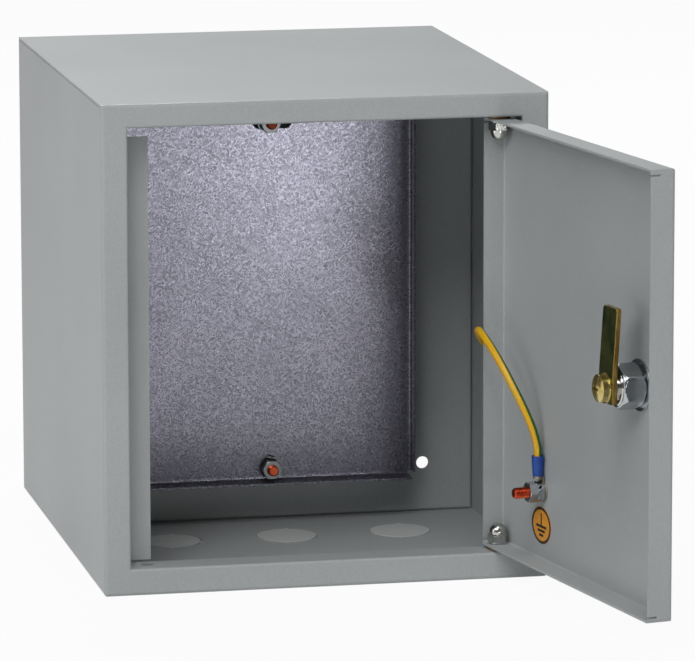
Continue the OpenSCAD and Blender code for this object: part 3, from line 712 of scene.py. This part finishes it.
# plastics: the lug's sleeve, the label's film and the lead's insulation
plasticSet = {"cloud": 140.0, "grain": 2600.0, "rough": (-0.08, 0.12), "bump": (0.1, 0.05 * mm)}


def plasticFinish(name, light, deep, rough):
    s = plasticSet
    material, tree, shader, place = startMaterial(name)
    fine = noise(tree, place, s["grain"], 2.0)
    fill(tree, shader, {
        "Base Color": drift(tree, noise(tree, place, s["cloud"], 3.0), deep, light),
        "Roughness": spread(tree, fine, *(rough + step for step in s["rough"]), (0.0, 1.0)),
        "Normal": relief(tree, fine, *s["bump"]),
    })
    return material


def labelFinish():  # orange film printed with a ring and the protective earth sign
    s = labelSet
    material, tree, shader, place = startMaterial("labelPrint")
    uv = addNode(tree, "UVMap", {}, uv_map="printMap").outputs[0]
    x, y, _ = addNode(tree, "SeparateXYZ", {0: uv}).outputs
    reach = addNode(tree, "VectorMath", {0: uv}, operation="LENGTH").outputs["Value"]
    middle, half, foot, top = s["upright"]
    strokes = [(middle, half, (foot + top) / 2, (top - foot) / 2)]
    strokes += [(0.0, length, height, s["barHalf"]) for height, length in s["bars"]]
    ink = within(tree, reach, *s["ring"])
    for atX, halfX, atY, halfY in strokes:
        stroke = math2(tree, "MULTIPLY", within(tree, x, atX, halfX), within(tree, y, atY, halfY))
        ink = math2(tree, "MAXIMUM", ink, stroke)
    slow = noise(tree, place, s["cloud"], 3.0)
    fill(tree, shader, {
        "Base Color": mixColour(tree, ink, drift(tree, slow, *s["film"]), drift(tree, slow, *s["ink"])),
        "Roughness": spread(tree, slow, *s["rough"], (0.0, 1.0)),
        "Normal": relief(tree, ink, *s["bump"]),
    })
    return material


def leadFinish():  # yellow insulation with a green stripe
    s = leadSet
    material, tree, shader, place = startMaterial("leadInsulation")
    uv = addNode(tree, "UVMap", {}, uv_map="alongLead").outputs[0]
    along, around, _ = addNode(tree, "SeparateXYZ", {0: uv}).outputs
    turned = math2(tree, "ADD", around, math2(tree, "MULTIPLY", along, s["stripeTurn"]))
    turned = math2(tree, "SUBTRACT", turned, s["stripeAt"])
    wave = math2(tree, "COSINE", math2(tree, "MULTIPLY", turned, 2 * math.pi))
    stripe = spread(tree, wave, 0.0, 1.0, s["stripeEdge"])
    fine = noise(tree, place, s["grain"], 2.0)
    fill(tree, shader, {
        "Base Color": mixColour(tree, stripe, drift(tree, fine, *s["yellow"]),
                                drift(tree, fine, *s["green"])),
        "Roughness": s["rough"],
        "Normal": relief(tree, fine, *s["bump"]),
    })
    return material


paintGrain = buildPaintGrain()
brushedMarks = buildBrushed()
finishes = {
    "paint": paintFinish("bodyPaint", paintSet["light"], paintSet["deep"]),
    "floor_blank": paintFinish("blankPaint", (222, 224, 223), (210, 213, 213)),
    "galvanised": zincSheetFinish(),
    "copper": platedFinish("copperPlate", (226, 108, 66), (184, 72, 44), 0.34),
    "zinc": platedFinish("zincPlate", (186, 190, 192), (172, 176, 180), 0.25),
    # painted shade: a near-black copy of the zinc plate, for the plate's washers in its shade
    "black_zinc_painted_shade": platedFinish("blackZincPlate", (62, 62, 64), (44, 44, 46), 0.45),
    # painted shade: a darker, rougher copy of the copper plate, for the upper stud in the plate's shade
    "dull_copper_painted_shade": platedFinish("dullCopperPlate", (150, 72, 46), (112, 50, 32), 0.5),
    # painted shade: a darker, rougher copy of the zinc plate, for the plate's nuts in its shade
    "dull_zinc_painted_shade": platedFinish("dullZincPlate", (156, 158, 160), (138, 140, 143), 0.4),
    "yellow_zinc": passivatedFinish("oliveZinc", (56, 72, 38), (84, 96, 50), (122, 122, 64), 0.34),
    "yellow_zinc_edge": passivatedFinish("edgeZinc", (120, 92, 44), (160, 126, 64), (192, 164, 96), 0.34),
    "gold_zinc": passivatedFinish("goldZinc", (168, 148, 84), (196, 178, 112), (212, 198, 138), 0.2),
    "bronze": platedFinish("sinterBronze", (176, 140, 84), (140, 108, 62), 0.45),
    "nickel": platedFinish("nickelPlate", (206, 206, 202), (176, 176, 172), 0.18),
    "tin": platedFinish("tinPlate", (186, 176, 162), (140, 130, 118), 0.34),
    "blue_sleeve": plasticFinish("blueSleeve", (30, 80, 168), (18, 58, 140), 0.42),
    "lead": leadFinish(),
    "label": labelFinish(),
}
paintedShadeFinish = {  # nodes with a darker, duller finish than their slot's: painted shade, since they stand in the plate's shade
    "plate_nuts": "dull_zinc_painted_shade", "plate_washers": "black_zinc_painted_shade", "plate_spring_washers": "black_zinc_painted_shade",
}
for nodeName, node in nodes.items():
    node.data.materials.clear()
    node.data.materials.append(finishes[paintedShadeFinish.get(nodeName, slotOf[nodeName])])
for name, held in dressed.items():
    for finish in held:
        bpy.data.objects[name].data.materials.append(finishes[finish])
print("finishes:", len(finishes))


# stage and light
stageSet = {
    "floor": (226, 227, 228), "rough": 0.9, "size": 8.0,
    "glow": 1.0, "glowKept": 0.94,  # the floor's own white, and how much of it is seen
    "inset": 4 * mm, "soft": 2 * mm,  # under the box the glow ends this far in, over this width
    "world": 0.1,
}


def stageFinish():
    s = stageSet
    material, tree, shader, place = startMaterial("stageFloor")
    fill(tree, shader, {"Base Color": (*shade(s["floor"]), 1), "Roughness": s["rough"]})
    ways = addNode(tree, "LightPath", {}).outputs
    seen = math2(tree, "MAXIMUM", ways["Is Camera Ray"], ways["Is Glossy Ray"])
    seen = math2(tree, "MAXIMUM", seen, ways["Is Transmission Ray"])
    x, y, _ = addNode(tree, "SeparateXYZ", {0: place}).outputs
    (_, front, _), (right, _, _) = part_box("front_frame")
    under = math2(tree, "MULTIPLY", within(tree, x, 0.0, right - s["inset"], s["soft"]),
                  within(tree, y, front / 2, -front / 2 - s["inset"], s["soft"]))
    kept = math2(tree, "SUBTRACT", s["glowKept"], under, clamp=True)
    glow = addNode(tree, "Emission", {"Color": (1, 1, 1, 1), "Strength": s["glow"]})
    both = addNode(tree, "MixShader", {0: math2(tree, "MULTIPLY", seen, kept), 1: shader.outputs[0],
                                       2: glow.outputs[0]})
    out = next(node for node in tree.nodes if node.type == "OUTPUT_MATERIAL")
    fill(tree, out, {"Surface": both.outputs[0]})
    return material


def addFloor():
    low, half = cadBox[0][2], stageSet["size"] / 2
    corners = [(-half, -half, low), (half, -half, low), (half, half, low), (-half, half, low)]
    floor = meshObject("stage_floor", corners, [(0, 1, 2, 3)], smooth=False)
    floor.data.materials.append(stageFinish())


def addWorld():  # white where it is seen, faint where it lights
    world = bpy.data.worlds.new("studio")
    world.use_nodes = True
    tree = world.node_tree
    tree.nodes.clear()
    ways = addNode(tree, "LightPath", {}).outputs
    seen = math2(tree, "MAXIMUM", ways["Is Camera Ray"], ways["Is Transmission Ray"])
    faint = addNode(tree, "Background", {"Color": (1, 1, 1, 1), "Strength": stageSet["world"]})
    white = addNode(tree, "Background", {"Color": (1, 1, 1, 1), "Strength": 1.0})
    both = addNode(tree, "MixShader", {0: seen, 1: faint.outputs[0], 2: white.outputs[0]})
    addNode(tree, "OutputWorld", {"Surface": both.outputs[0]})
    bpy.context.scene.world = world


lampSet = {  # name: place and aim in metres, size, power in watts
    "keyLeft": {"place": (-1.0, -2.2, 1.8), "aim": (0, -0.15, 0), "size": 1.0, "power": 14},
    "lowLeft": {"place": (-1.8, -1.6, 1.4), "aim": (0, -0.15, 0), "size": 1.0, "power": 8.2},
    "aboveFront": {"place": (-0.2, -1.4, 2.0), "aim": (0, -0.15, 0), "size": 1.0, "power": 13.2},
    "aboveRear": {"place": (0.0, 1.6, 1.8), "aim": (0, -0.15, 0), "size": 1.0, "power": 29.5},
    "leftNear": {"place": (-0.9, -0.5, 0.15), "aim": (-0.1, -0.25, 0), "size": 0.5, "power": 0.75},
    "rightRear": {"place": (2.0, 1.4, 0.9), "aim": (0, -0.15, 0), "size": 1.0, "power": 14},
    "plateGlint": {"place": (0.26, -1.3, -0.1), "aim": (0.015, -0.125, 0.084), "size": 0.16, "power": 0.85},
}


def addLamps():
    for name, lamp in lampSet.items():
        data = bpy.data.lights.new(name, "AREA")
        data.shape = "DISK"
        data.size = lamp["size"]
        data.energy = lamp["power"]
        light = addObject(name, data)
        light.location = lamp["place"]
        away = Vector(lamp["place"]) - Vector(lamp["aim"])
        light.rotation_mode = "QUATERNION"
        light.rotation_quaternion = away.to_track_quat("Z", "Y")
        light.visible_camera = False


addFloor()
addWorld()
addLamps()
bpy.context.scene.view_settings.view_transform = "Standard"
print("stage lit")
